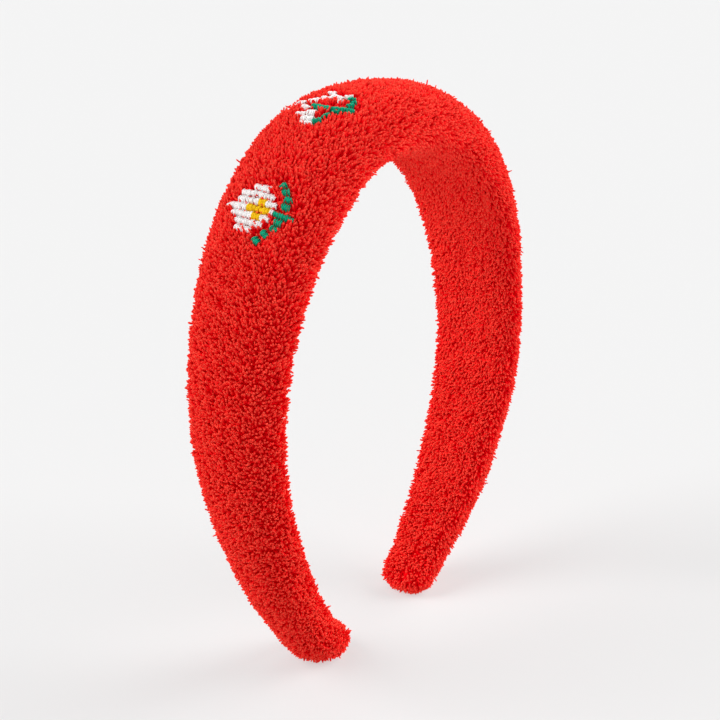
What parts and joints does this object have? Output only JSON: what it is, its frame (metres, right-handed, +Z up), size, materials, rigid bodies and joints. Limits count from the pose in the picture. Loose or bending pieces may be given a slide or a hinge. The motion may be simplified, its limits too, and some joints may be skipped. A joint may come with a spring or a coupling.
{
  "type": "padded headband",
  "caption": "Rigid padded hair band: a crown-to-ear hoop in looped terry cloth with embroidered daisies.",
  "frame": {"origin": "on the surface the band stands on, midway between its two tips", "axes": "+Z up towards the crown, X across the head from leg to leg, -Y the front edge; the daisies are on the -X leg"},
  "size_m": [0.1492, 0.039, 0.1804],
  "materials": {
    "terry": "looped cotton terry pile",
    "red_thread": "sewing thread",
    "white_thread": "satin stitch embroidery thread",
    "yellow_thread": "satin stitch embroidery thread",
    "green_thread": "satin stitch embroidery thread",
    "backing": "non-woven embroidery stabiliser",
    "foam": "soft open-cell polyurethane foam",
    "core": "springy moulded plastic"
  },
  "bodies": {
    "root": {"terry_cover": "terry", "closing_seam": "red_thread", "left_tip_stitches": "red_thread", "right_tip_stitches": "red_thread", "side_daisy_petals": "white_thread", "side_daisy_centre": "yellow_thread", "side_daisy_stem": "green_thread", "side_daisy_leaves": "green_thread", "side_daisy_backing": "backing", "top_daisy_petals": "white_thread", "top_daisy_stem": "green_thread", "top_daisy_leaves": "green_thread", "top_daisy_backing": "backing", "crown_foam": "foam", "head_foam": "foam", "core_band": "core"}
  },
  "joints": []
}
